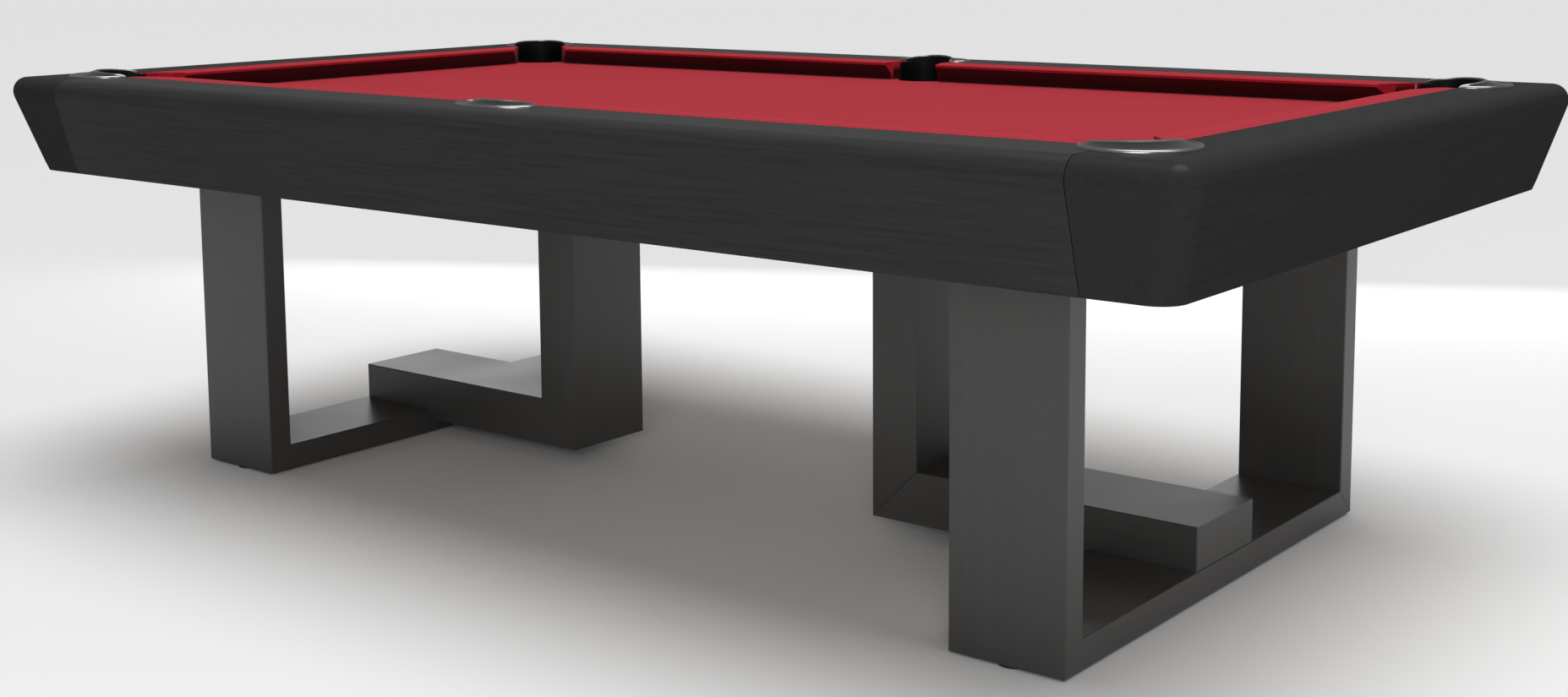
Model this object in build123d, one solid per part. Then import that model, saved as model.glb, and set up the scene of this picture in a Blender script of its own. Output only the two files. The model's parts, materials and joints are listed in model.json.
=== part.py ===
"""Eight-foot six-pocket pool table: a slate bed in a flared cabinet on two crossed leg frames.

Millimetres. The origin is on the floor under the middle of the table, X runs along its length
and Z is up. "depth" below means the distance outwards from the line of the cushion noses.
"""
from build123d import *
from math import cos, radians, sin, sqrt, tan
import os

# Playing surface, measured between the cushion noses
PLAY_LENGTH = 2235.0
PLAY_WIDTH = 1118.0
CLOTH_TOP = 763.0
CLOTH_THICK = 1.0
NOSE_ABOVE_CLOTH = 34.0

# Rails and cabinet
RAIL_TOP = 801.0
CABINET_BOTTOM = 611.0
CABINET_DEPTH_LOW = 159.0
CABINET_DEPTH_TOP = 213.0
CABINET_WALL = 25.0
CABINET_CORNER_RADIUS = 42.0
RAIL_EDGE_RADIUS = 32.0
SEAM_X = 1143.0
SEAM_GAP = 1.0

# Cushions
WOOD_DEPTH = 69.0
SUBRAIL_DEPTH = 66.0
RUBBER_DEPTH = 34.0
RUBBER_BOTTOM = 776.0
TOE_DEPTH = 17.0
FEATHER_HEIGHT = 5.0
FACING_THICK = 3.0

# Pockets: nose tips, facing angles from the nose line, drop holes and castings
CORNER_TIP = 88.0
CORNER_FACING = 38.0
CORNER_HOLE_RADIUS = 62.0
CORNER_HOLE_DEPTH = 30.0
SIDE_TIP = 65.0
SIDE_FACING = 76.0
SIDE_HOLE_RADIUS = 58.0
SIDE_HOLE_DEPTH = 52.0
CASTING_THICK = 12.0
CORNER_CASTING_RADIUS = 86.0
CORNER_CASTING_SHIFT = 31.0
SIDE_CASTING_RADIUS = 98.0
BUCKET_WALL = 3.5
BUCKET_GAP = 0.5
BUCKET_BOTTOM = 628.0
BUCKET_RISE = 9.0
THROAT_DROP = 3.0
MOUTH_CLEARANCE = 4.0
MOUTH_REACH = 0.42

# Slate and the timber frame under it
SLATE_THICK = 25.0
SLATE_DEPTH = 90.0
SLATE_GAP = 0.4
LINER_THICK = 19.0
LINER_WIDTH = 90.0
STRETCHER_Y = 475.0
END_BEAM_X = 1127.5
END_BEAM_WIDTH = 45.0
PLATE_THICK = 6.0
OUTER_BEAM_WIDTH = 200.0
INNER_BEAM_WIDTH = 100.0
BEAM_HALF_LENGTH = 692.0

# Leg frames
FOOT_GAP = 4.0
OUTER_FRAME_X = 916.0
OUTER_FRAME_WIDTH = 203.0
OUTER_STOCK = 50.0
OUTER_HALF_SPAN = 524.0
INNER_LEG_X = 373.0
INNER_STOCK = 96.0
INNER_WIDTH = 206.0
INNER_RAIL_BOTTOM = 32.0
INNER_RAIL_SETBACK = 2.0
LEG_EDGE_RADIUS = 2.5
MITRE_GROOVE = 1.2

# Levelling feet
PAD_RADIUS = 25.0
PAD_CLEARANCE = 0.3
PAD_SOCKET_RADIUS = 11.0
PAD_SOCKET_TOP = 8.0
PAD_FLOOR = 2.0
STUD_RADIUS = 6.0
STUD_CLEARANCE = 0.05
STUD_TOP = 52.0
HEX_ACROSS_FLATS = 19.0
HEX_BOTTOM = 8.5
HEX_TOP = 14.5
RECESS_RADIUS = 16.0
RECESS_TOP = 18.0
INSERT_RADIUS = 10.0
INSERT_TOP = 56.0

# Fasteners
BOLT_RADIUS = 5.0
BOLT_LENGTH = 60.0
BOLT_HEAD_FLATS = 17.0
BOLT_HEAD_HEIGHT = 7.0
SLATE_HOLE_RADIUS = 6.5
RAIL_BOLT_DEPTH = 50.0
SLATE_SCREW_RADIUS = 3.5
SLATE_SCREW_HEAD = 7.0
SLATE_SCREW_LENGTH = 42.0
JOINT_PLATE = (90.0, 56.0, 3.0)
WOOD_SCREW_RADIUS = 2.5
WOOD_SCREW_LENGTH = 26.0
WOOD_SCREW_HEAD_RADIUS = 4.5
WOOD_SCREW_HEAD_HEIGHT = 2.5

HALF_X = PLAY_LENGTH / 2
HALF_Y = PLAY_WIDTH / 2
NOSE_Z = CLOTH_TOP + NOSE_ABOVE_CLOTH
SLATE_TOP = CLOTH_TOP - CLOTH_THICK
SLATE_BOTTOM = SLATE_TOP - SLATE_THICK
LINER_BOTTOM = SLATE_BOTTOM - LINER_THICK
BEAM_BOTTOM = CABINET_BOTTOM + PLATE_THICK
BEAM_HEIGHT = LINER_BOTTOM - BEAM_BOTTOM
OUTER_RAIL_TOP = FOOT_GAP + OUTER_STOCK
INNER_RAIL_TOP = INNER_RAIL_BOTTOM + INNER_STOCK
FOOT_Y = OUTER_HALF_SPAN - OUTER_STOCK / 2

ENDS = {"left": -1, "right": 1}
SIDES = {"front": -1, "back": 1}


def block(x_range, y_range, z_range):
    """A box between the given pairs of coordinates."""
    low = [min(r) for r in (x_range, y_range, z_range)]
    size = [max(r) - min(r) for r in (x_range, y_range, z_range)]
    centre = [a + s / 2 for a, s in zip(low, size)]
    return Pos(*centre) * Box(*size)


def rod(x, y, bottom, top, radius):
    """An upright cylinder."""
    return Pos(x, y, (bottom + top) / 2) * Cylinder(radius, top - bottom)


def hexagon(x, y, bottom, top, across_flats):
    """An upright hexagonal prism."""
    outline = RegularPolygon(across_flats / 2, 6, major_radius=False)
    return extrude(Pos(x, y, bottom) * outline, amount=top - bottom)


def plan_prism(points, bottom, top):
    """A prism whose plan is the polygon through the points."""
    outline = Plane.XY.offset(bottom) * make_face(Polyline(*points, close=True))
    return extrude(outline, amount=top - bottom)


def group(shapes):
    """Separate solids kept together in one file."""
    solids = [solid for shape in shapes for solid in shape.solids()]
    return Compound(children=solids)


def export(shape, name):
    """Write one node."""
    shape.label = name
    export_step(shape, os.path.join("parts", name + ".step"))


# Pockets -----------------------------------------------------------------------------------

def pocket_list():
    """Each pocket's name, kind, drop-hole centre and outward direction in plan."""
    corner_x = HALF_X + CORNER_HOLE_DEPTH
    corner_y = HALF_Y + CORNER_HOLE_DEPTH
    pockets = []
    for side, sy in SIDES.items():
        for end, sx in ENDS.items():
            outward = (sx / sqrt(2), sy / sqrt(2))
            pockets.append((f"{side}_{end}", "corner", (sx * corner_x, sy * corner_y), outward))
        middle = (0.0, sy * (HALF_Y + SIDE_HOLE_DEPTH))
        pockets.append((f"{side}_middle", "side", middle, (0.0, float(sy))))
    return pockets


def hole_radius(kind):
    return CORNER_HOLE_RADIUS if kind == "corner" else SIDE_HOLE_RADIUS


def drop_holes(extra, bottom, top):
    """One cylinder for each pocket, larger than its drop hole by the extra radius."""
    return [rod(*centre, bottom, top, hole_radius(kind) + extra) for _, kind, centre, _ in POCKETS]


def pocket_notches(bottom, top):
    """Drop holes opened out to the edge of the slate."""
    cuts = drop_holes(BUCKET_GAP, bottom, top)
    reach = SLATE_DEPTH + 20.0
    for _, kind, (x, y), (ux, uy) in POCKETS:
        radius = hole_radius(kind) + BUCKET_GAP
        if kind == "corner":
            x_out = (HALF_X + reach) * (1 if ux > 0 else -1)
            y_out = (HALF_Y + reach) * (1 if uy > 0 else -1)
            cuts.append(block((x, x_out), (y, y_out), (bottom, top)))
        else:
            y_out = (HALF_Y + reach) * (1 if uy > 0 else -1)
            cuts.append(block((-radius, radius), (y, y_out), (bottom, top)))
    return cuts


def throat(kind, tip, extra, bottom, top):
    """The space between the two cushion facings that lead into one pocket, in the table's own corner."""
    if kind == "corner":
        run = (WOOD_DEPTH + extra) / tan(radians(CORNER_FACING))
        reach_x, reach_y = HALF_X - tip, HALF_Y - tip
        return plan_prism([
            (reach_x, reach_y),
            (reach_x, HALF_Y),
            (reach_x + run, HALF_Y + WOOD_DEPTH + extra),
            (HALF_X + WOOD_DEPTH + extra, HALF_Y + WOOD_DEPTH + extra),
            (HALF_X + WOOD_DEPTH + extra, reach_y + run),
            (HALF_X, reach_y),
        ], bottom, top)
    run = SIDE_HOLE_DEPTH / tan(radians(SIDE_FACING))
    return plan_prism([
        (-tip, HALF_Y - 40.0),
        (-tip, HALF_Y),
        (-tip + run, HALF_Y + SIDE_HOLE_DEPTH),
        (tip - run, HALF_Y + SIDE_HOLE_DEPTH),
        (tip, HALF_Y),
        (tip, HALF_Y - 40.0),
    ], bottom, top)


def bucket(kind, centre):
    """A drop pocket at the back right corner or the back middle: a cup, open to the bed, that rises
    behind the casting only."""
    radius = hole_radius(kind) - BUCKET_GAP
    top = RAIL_TOP + BUCKET_RISE
    x, y = centre
    cup = rod(x, y, BUCKET_BOTTOM, top, radius)
    cup = fillet(cup.edges().group_by(Axis.Z)[0], 14.0)
    hollow = rod(x, y, BUCKET_BOTTOM + BUCKET_WALL, top + 1.0, radius - BUCKET_WALL)
    hollow = fillet(hollow.edges().group_by(Axis.Z)[0], 11.0)
    tip = CORNER_TIP if kind == "corner" else SIDE_TIP
    mouth = throat(kind, tip + MOUTH_CLEARANCE, MOUTH_CLEARANCE, CLOTH_TOP - THROAT_DROP, top + 1.0)
    if kind == "corner":
        reach = radius * MOUTH_REACH
        mouth &= block((x - 200, x + reach), (y - 200, y + reach), (700.0, top + 1.0))
    wood_x, wood_y = HALF_X + WOOD_DEPTH, HALF_Y + WOOD_DEPTH
    above_cushions = block((-wood_x, wood_x), (-wood_y, wood_y), (RAIL_TOP - 1.0, top + 1.0))
    return cup - hollow - mouth - above_cushions


def casting(kind, centre):
    """A crescent casting on the rail round the back right corner or the back middle pocket."""
    x, y = centre
    top = RAIL_TOP + CASTING_THICK
    if kind == "corner":
        shift = CORNER_CASTING_SHIFT / sqrt(2)
        body = rod(x + shift, y + shift, RAIL_TOP, top, CORNER_CASTING_RADIUS)
    else:
        body = rod(x, y, RAIL_TOP, top, SIDE_CASTING_RADIUS)
    body = fillet(body.edges().group_by(Axis.Z)[-1], 6.0)
    body -= rod(x, y, RAIL_TOP - 1.0, top + 1.0, hole_radius(kind))
    wood_x, wood_y = HALF_X + WOOD_DEPTH, HALF_Y + WOOD_DEPTH
    return body - block((-wood_x, wood_x), (-wood_y, wood_y), (RAIL_TOP - 1.0, top + 1.0))


def at_each_pocket(make):
    """Build one corner and one side shape and mirror them round the table."""
    masters = {kind: make(kind, centre) for name, kind, centre, _ in POCKETS
               if name in ("back_right", "back_middle")}
    placed = {}
    for name, kind, _, (ux, uy) in POCKETS:
        shape = masters[kind]
        if ux < 0:
            shape = mirror(shape, about=Plane.YZ)
        if uy < 0:
            shape = mirror(shape, about=Plane.XZ)
        placed[name] = shape
    return placed


# Cabinet -----------------------------------------------------------------------------------

def cabinet_ring():
    """The whole flared cabinet with its flat rail top, before it is cut into its four pieces."""
    def section(depth, z, radius):
        return Plane.XY.offset(z) * RectangleRounded(2 * (HALF_X + depth), 2 * (HALF_Y + depth), radius)

    flare = (CABINET_DEPTH_TOP - CABINET_DEPTH_LOW) / (RAIL_TOP - CABINET_BOTTOM)
    depth_at_cloth = CABINET_DEPTH_LOW + flare * (CLOTH_TOP - CABINET_BOTTOM)
    radius = CABINET_CORNER_RADIUS
    outer = loft([section(CABINET_DEPTH_LOW, CABINET_BOTTOM, radius),
                  section(CABINET_DEPTH_TOP, RAIL_TOP, radius)], ruled=True)
    outer = fillet(outer.edges().group_by(Axis.Z)[-1], RAIL_EDGE_RADIUS)
    inner_radius = radius - CABINET_WALL / 2
    hollow = loft([section(CABINET_DEPTH_LOW - CABINET_WALL, CABINET_BOTTOM, inner_radius),
                   section(depth_at_cloth - CABINET_WALL, CLOTH_TOP, inner_radius)], ruled=True)
    bed_x, bed_y = HALF_X + WOOD_DEPTH, HALF_Y + WOOD_DEPTH
    bed = block((-bed_x, bed_x), (-bed_y, bed_y), (CLOTH_TOP - 1.0, RAIL_TOP + 1.0))
    ring = outer - hollow - bed
    for hole in drop_holes(0.0, CLOTH_TOP - 1.0, RAIL_TOP + 1.0):
        ring -= hole
    return ring


def cabinet_pieces(screws):
    """Two side aprons, and two end pieces that wrap round the corners, parted by narrow seams."""
    ring = cabinet_ring()
    far = 1500.0
    z_range = (CABINET_BOTTOM - 10.0, RAIL_TOP + 10.0)
    half_gap = SEAM_GAP / 2
    side = (ring & block((-SEAM_X + half_gap, SEAM_X - half_gap), (0.0, far), z_range)) - screws
    end = (ring & block((SEAM_X + half_gap, far), (-far, far), z_range)) - screws
    return {"side_apron_back": side, "side_apron_front": mirror(side, about=Plane.XZ),
            "end_apron_right": end, "end_apron_left": mirror(end, about=Plane.YZ)}


def joint_plates():
    """Steel plates under the rails across each seam, and the screws that hold them."""
    length, width, thick = JOINT_PLATE
    z_range = (CLOTH_TOP - thick, CLOTH_TOP)
    head_range = (z_range[0] - WOOD_SCREW_HEAD_HEIGHT, z_range[0])
    shank_range = (z_range[0], z_range[0] + WOOD_SCREW_LENGTH)
    y = HALF_Y + SLATE_DEPTH + 10.0 + width / 2
    plates = []
    screws = []
    for sx in ENDS.values():
        for sy in SIDES.values():
            x_range = (sx * SEAM_X - length / 2, sx * SEAM_X + length / 2)
            plate = block(x_range, (sy * y - width / 2, sy * y + width / 2), z_range)
            for ix in (-1, 1):
                for iy in (-1, 1):
                    spot = (sx * SEAM_X + ix * (length / 2 - 12.0), sy * y + iy * (width / 2 - 12.0))
                    shank = rod(*spot, *shank_range, WOOD_SCREW_RADIUS)
                    plate -= shank
                    screws.append(rod(*spot, *head_range, WOOD_SCREW_HEAD_RADIUS) + shank)
            plates.append(plate)
    return group(plates), group(screws)


# Cushions ----------------------------------------------------------------------------------

def cushion_profile(inset):
    """Depth and height points of a cushion's outside, moved in by the inset."""
    top = RAIL_TOP - inset
    return [
        (TOE_DEPTH + inset, CLOTH_TOP),
        (TOE_DEPTH - 2.0 + inset, RUBBER_BOTTOM),
        (2.0 + inset, NOSE_Z - 6.0),
        (inset, NOSE_Z - 2.0),
        (0.8 + inset, NOSE_Z + 0.5 - inset * 0.5),
        (4.0 + inset, NOSE_Z + 2.2 - inset),
        (RUBBER_DEPTH, top - 0.3),
        (SUBRAIL_DEPTH, top),
    ]


def long_prism(points, half_width, length):
    """A bar along X whose section is given as depth and height outside a nose line at +half_width."""
    outline = make_face(Polyline(*[(half_width + d, z) for d, z in points], close=True))
    return Pos(-length / 2) * extrude(Plane.YZ * outline, amount=length)


def cushion_plan(ends, half_width, shrink, depth):
    """The plan of a cushion: each end is a nose tip and the cotangent of its facing angle."""
    (s0, cot0), (s1, cot1) = ends
    return plan_prism([
        (s0 + shrink, half_width - 5.0),
        (s0 + shrink, half_width),
        (s0 + shrink - depth * cot0, half_width + depth),
        (s1 - shrink + depth * cot1, half_width + depth),
        (s1 - shrink, half_width),
        (s1 - shrink, half_width - 5.0),
    ], CLOTH_TOP - 5.0, RAIL_TOP + 5.0)


def cushion_parts(ends, half_width, holes):
    """Cloth, rubber and facings, sub-rail and feather strip of one cushion on the +Y side."""
    length = 2 * (abs(ends[0][0]) + abs(ends[1][0])) + 600.0
    slim = CLOTH_THICK + FACING_THICK

    def cut(shape, extra):
        for x, y, radius in holes:
            shape -= rod(x, y, CLOTH_TOP - 5.0, RAIL_TOP + 5.0, radius + extra)
        return shape

    skin = long_prism(cushion_profile(0.0) + [(SUBRAIL_DEPTH, CLOTH_TOP)], half_width, length)
    core_points = cushion_profile(CLOTH_THICK)
    core = long_prism(core_points + [(SUBRAIL_DEPTH + 1.0, core_points[-1][1]),
                                     (SUBRAIL_DEPTH + 1.0, CLOTH_TOP - 1.0),
                                     (core_points[0][0], CLOTH_TOP - 1.0)], half_width, length)
    cloth = cut(skin & cushion_plan(ends, half_width, 0.0, SUBRAIL_DEPTH + 2.0), 0.0)
    cloth -= cut(core & cushion_plan(ends, half_width, CLOTH_THICK, SUBRAIL_DEPTH + 2.0), CLOTH_THICK)

    rubber_points = core_points[1:6] + [(RUBBER_DEPTH, core_points[6][1]), (RUBBER_DEPTH, RUBBER_BOTTOM)]
    rubber_bar = long_prism(rubber_points, half_width, length)
    rubber = cut(rubber_bar & cushion_plan(ends, half_width, slim, RUBBER_DEPTH + 2.0), CLOTH_THICK)
    ends_on = rubber_bar & cushion_plan(ends, half_width, CLOTH_THICK, RUBBER_DEPTH + 2.0)
    facings = cut(ends_on, CLOTH_THICK) - cushion_plan(ends, half_width, slim, RUBBER_DEPTH + 2.0)

    wood_points = [(core_points[0][0], CLOTH_TOP), core_points[1], (RUBBER_DEPTH, RUBBER_BOTTOM),
                   (RUBBER_DEPTH, core_points[6][1]), (SUBRAIL_DEPTH, core_points[7][1]),
                   (SUBRAIL_DEPTH, RAIL_TOP - FEATHER_HEIGHT), (WOOD_DEPTH, RAIL_TOP - FEATHER_HEIGHT),
                   (WOOD_DEPTH, CLOTH_TOP)]
    wood = long_prism(wood_points, half_width, length)
    wood = cut(wood & cushion_plan(ends, half_width, CLOTH_THICK, WOOD_DEPTH + 2.0), CLOTH_THICK)

    strip_points = [(SUBRAIL_DEPTH, RAIL_TOP - FEATHER_HEIGHT), (WOOD_DEPTH, RAIL_TOP - FEATHER_HEIGHT),
                    (WOOD_DEPTH, RAIL_TOP), (SUBRAIL_DEPTH, RAIL_TOP)]
    strip = long_prism(strip_points, half_width, length)
    strip = cut(strip & cushion_plan(ends, half_width, 0.0, WOOD_DEPTH + 2.0), 0.0)
    return {"cloth": cloth, "rubber": rubber, "facings": facings, "wood": wood, "strip": strip}


def all_cushions():
    """The six cushions, each turned to its place."""
    cot_corner = 1 / tan(radians(CORNER_FACING))
    cot_side = 1 / tan(radians(SIDE_FACING))
    corner_x = HALF_X + CORNER_HOLE_DEPTH
    corner_y = HALF_Y + CORNER_HOLE_DEPTH
    side_hole = (0.0, HALF_Y + SIDE_HOLE_DEPTH, SIDE_HOLE_RADIUS)
    long_ends = ((SIDE_TIP, cot_side), (HALF_X - CORNER_TIP, cot_corner))
    corner_hole = (corner_x, corner_y, CORNER_HOLE_RADIUS)
    long_cushion = cushion_parts(long_ends, HALF_Y, [side_hole, corner_hole])
    short_tip = HALF_Y - CORNER_TIP
    short_ends = ((-short_tip, cot_corner), (short_tip, cot_corner))
    short_holes = [(corner_y, corner_x, CORNER_HOLE_RADIUS), (-corner_y, corner_x, CORNER_HOLE_RADIUS)]
    short_cushion = cushion_parts(short_ends, HALF_X, short_holes)
    placed = {}
    for side, sy in SIDES.items():
        for end, sx in ENDS.items():
            parts = {}
            for key, shape in long_cushion.items():
                shape = shape if sx > 0 else mirror(shape, about=Plane.YZ)
                parts[key] = shape if sy > 0 else mirror(shape, about=Plane.XZ)
            placed[f"{side}_{end}"] = parts
    for end, sx in ENDS.items():
        placed[f"end_{end}"] = {key: Rot(0, 0, -90 * sx) * shape for key, shape in short_cushion.items()}
    return placed


# Slate, frame and legs -----------------------------------------------------------------------

def rail_bolt_spots():
    """Plan positions of the bolts that pull the rails down onto the slate."""
    spots = []
    for sy in SIDES.values():
        for x in (165.0, 547.0, 930.0):
            spots += [(x, sy * (HALF_Y + RAIL_BOLT_DEPTH)), (-x, sy * (HALF_Y + RAIL_BOLT_DEPTH))]
    for sx in ENDS.values():
        for y in (-330.0, 0.0, 330.0):
            spots.append((sx * (HALF_X + RAIL_BOLT_DEPTH), y))
    return spots


def leg_bolt_spots():
    """Plan positions of the bolts up through the leg plates."""
    spots = []
    for sx in ENDS.values():
        for sy in SIDES.values():
            for dx in (-75.0, 75.0):
                for dy in (-48.0, 48.0):
                    spots.append((sx * OUTER_FRAME_X + dx, sy * FOOT_Y + dy))
        for dx in (-36.0, 36.0):
            for sy in SIDES.values():
                spots.append((sx * (INNER_LEG_X + INNER_STOCK / 2) + dx, sy * (INNER_WIDTH / 2 + 20.0)))
    return spots


def hex_bolt(x, y, seat):
    head = hexagon(x, y, seat - BOLT_HEAD_HEIGHT, seat, BOLT_HEAD_FLATS)
    return head + rod(x, y, seat, seat + BOLT_LENGTH, BOLT_RADIUS)


def leg_plates():
    """Steel plates between the legs and the beams."""
    plates = []
    z_range = (CABINET_BOTTOM, BEAM_BOTTOM)
    for sx in ENDS.values():
        x = sx * OUTER_FRAME_X
        for sy in SIDES.values():
            y = sy * FOOT_Y
            plates.append(block((x - 95, x + 95), (y - 62, y + 62), z_range))
        x = sx * (INNER_LEG_X + INNER_STOCK / 2)
        plates.append(block((x - 50, x + 50), (-INNER_WIDTH / 2 - 34, INNER_WIDTH / 2 + 34), z_range))
    return plates


def beams():
    """Cross beams over the legs, reaching from apron to apron."""
    solids = []
    y_range = (-BEAM_HALF_LENGTH, BEAM_HALF_LENGTH)
    z_range = (BEAM_BOTTOM, LINER_BOTTOM)
    places = ((OUTER_FRAME_X, OUTER_BEAM_WIDTH), (INNER_LEG_X + INNER_STOCK / 2, INNER_BEAM_WIDTH))
    for sx in ENDS.values():
        for x, width in places:
            solids.append(block((sx * x - width / 2, sx * x + width / 2), y_range, z_range))
    return solids


def stretchers():
    """Long timbers between the cross beams and the two end timbers."""
    inner_x = INNER_LEG_X + INNER_STOCK / 2
    stops = [0.0, inner_x - INNER_BEAM_WIDTH / 2, inner_x + INNER_BEAM_WIDTH / 2,
             OUTER_FRAME_X - OUTER_BEAM_WIDTH / 2, OUTER_FRAME_X + OUTER_BEAM_WIDTH / 2,
             END_BEAM_X + END_BEAM_WIDTH / 2]
    z_range = (BEAM_BOTTOM, LINER_BOTTOM)
    solids = []
    for sy in SIDES.values():
        y_range = (sy * STRETCHER_Y - LINER_WIDTH / 2, sy * STRETCHER_Y + LINER_WIDTH / 2)
        solids.append(block((-stops[1], stops[1]), y_range, z_range))
        for sx in ENDS.values():
            solids.append(block((sx * stops[2], sx * stops[3]), y_range, z_range))
            solids.append(block((sx * stops[4], sx * stops[5]), y_range, z_range))
    reach = STRETCHER_Y - LINER_WIDTH / 2
    for sx in ENDS.values():
        x = sx * END_BEAM_X
        solids.append(block((x - END_BEAM_WIDTH / 2, x + END_BEAM_WIDTH / 2), (-reach, reach), z_range))
    return solids


def liner():
    """Backing boards that the slate is screwed to."""
    z_range = (LINER_BOTTOM, SLATE_BOTTOM)
    x_end = END_BEAM_X + END_BEAM_WIDTH / 2
    inner = STRETCHER_Y - LINER_WIDTH / 2
    outer = STRETCHER_Y + LINER_WIDTH / 2
    solids = []
    for sy in SIDES.values():
        solids.append(block((-x_end, x_end), (sy * inner, sy * outer), z_range))
    seam = (HALF_X + SLATE_DEPTH) / 3
    for sx in ENDS.values():
        x_range = (sx * seam - LINER_WIDTH / 2, sx * seam + LINER_WIDTH / 2)
        solids.append(block(x_range, (-inner, inner), z_range))
        solids.append(block((sx * (x_end - LINER_WIDTH), sx * x_end), (-inner, inner), z_range))
    return solids


def slate_screws():
    """Countersunk screws from the slate into the liner."""
    screws = []
    for x in (0.0, 375.0, 430.0, 780.0, 1120.0):
        for sx in (ENDS.values() if x else (1,)):
            for sy in SIDES.values():
                place = Pos(sx * x, sy * STRETCHER_Y)
                shank = rod(0, 0, SLATE_TOP - SLATE_SCREW_LENGTH, SLATE_TOP - 4.0, SLATE_SCREW_RADIUS)
                cone = Cone(SLATE_SCREW_RADIUS, SLATE_SCREW_HEAD, 4.0)
                head = Pos(0, 0, SLATE_TOP - 2.0) * cone
                screws.append(place * (shank + head))
    return group(screws)


def slates(screws):
    """Three slate slabs with their pocket notches and bolt holes."""
    edge = HALF_X + SLATE_DEPTH
    seam = edge / 3
    stops = {"slate_left": (-edge, -seam - SLATE_GAP / 2),
             "slate_middle": (-seam + SLATE_GAP / 2, seam - SLATE_GAP / 2),
             "slate_right": (seam + SLATE_GAP / 2, edge)}
    low, high = SLATE_BOTTOM - 1.0, SLATE_TOP + 1.0
    cuts = pocket_notches(low, high)
    cuts += [rod(x, y, low, high, SLATE_HOLE_RADIUS) for x, y in rail_bolt_spots()]
    placed = {}
    for name, x_range in stops.items():
        slab = block(x_range, (-HALF_Y - SLATE_DEPTH, HALF_Y + SLATE_DEPTH), (SLATE_BOTTOM, SLATE_TOP))
        for cut in cuts:
            slab -= cut
        placed[name] = slab - screws
    return placed


def bed_cloth():
    """One sheet of cloth over the slate, cut out round the pockets and the rail bolts."""
    x, y = HALF_X + SLATE_DEPTH, HALF_Y + SLATE_DEPTH
    sheet = block((-x, x), (-y, y), (SLATE_TOP, CLOTH_TOP))
    for cut in pocket_notches(SLATE_TOP - 1.0, CLOTH_TOP + 1.0):
        sheet -= cut
    for bx, by in rail_bolt_spots():
        sheet -= rod(bx, by, SLATE_TOP - 1.0, CLOTH_TOP + 1.0, SLATE_HOLE_RADIUS)
    return sheet


def mitre_groove(x, y, z, turn, length):
    """A slim square bar whose edge leaves a fine V along a mitre line on one face."""
    return Pos(x, y, z) * turn * Rot(0, 0, 45) * Box(MITRE_GROOVE, MITRE_GROOVE, length)


def outer_frame(foot_cuts):
    """The U-shaped frame at the right end: two legs mitred to a floor rail."""
    x0 = OUTER_FRAME_X - OUTER_FRAME_WIDTH / 2
    low, out, step = FOOT_GAP, OUTER_HALF_SPAN, OUTER_STOCK
    plane = Plane.YZ.offset(x0)
    leg_outline = Polyline((out, low), (out - step, low + step), (out - step, CABINET_BOTTOM),
                           (out, CABINET_BOTTOM), close=True)
    rail_outline = Polyline((-out, low), (-out + step, low + step), (out - step, low + step),
                            (out, low), close=True)
    leg = extrude(plane * make_face(leg_outline), amount=OUTER_FRAME_WIDTH)
    leg = fillet(leg.edges().filter_by(Axis.Z), LEG_EDGE_RADIUS)
    rail = extrude(plane * make_face(rail_outline), amount=OUTER_FRAME_WIDTH)
    rail = fillet(rail.edges().filter_by(Axis.Y), LEG_EDGE_RADIUS)
    cuts = list(foot_cuts)
    for x in (x0, x0 + OUTER_FRAME_WIDTH):
        for sy in SIDES.values():
            y, z = sy * (out - step / 2), low + step / 2
            cuts.append(mitre_groove(x, y, z, Rot(sy * 45, 0, 0), 2 * step))
    for cut in cuts:
        leg -= cut
        rail -= cut
    return leg, rail


def inner_frame():
    """The L-shaped frame at the right end: a leg mitred to a floor rail lapped over the outer one."""
    half = INNER_WIDTH / 2
    x0, x1 = INNER_LEG_X, INNER_LEG_X + INNER_STOCK
    x_end = OUTER_FRAME_X + OUTER_FRAME_WIDTH / 2 - INNER_RAIL_SETBACK
    lap_x = OUTER_FRAME_X - OUTER_FRAME_WIDTH / 2
    low, high = INNER_RAIL_BOTTOM, INNER_RAIL_TOP
    leg_outline = Polyline((x0, low), (x1, high), (x1, CABINET_BOTTOM), (x0, CABINET_BOTTOM), close=True)
    rail_outline = Polyline((x0, low), (x1, high), (x_end, high), (x_end, OUTER_RAIL_TOP),
                            (lap_x, OUTER_RAIL_TOP), (lap_x, low), close=True)
    leg = extrude(Plane.XZ * make_face(leg_outline), amount=half, both=True)
    leg = fillet(leg.edges().filter_by(Axis.Z), LEG_EDGE_RADIUS)
    rail = extrude(Plane.XZ * make_face(rail_outline), amount=half, both=True)
    top_edges = rail.edges().filter_by(Axis.X).group_by(Axis.Z)[-1]
    end_edges = rail.edges().filter_by(Axis.Z).group_by(Axis.X)[-1]
    rail = fillet(top_edges + end_edges, LEG_EDGE_RADIUS)
    for y in (-half, half):
        groove = mitre_groove((x0 + x1) / 2, y, (low + high) / 2, Rot(0, 45, 0), 2 * INNER_STOCK)
        leg -= groove
        rail -= groove
    return leg, rail


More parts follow.
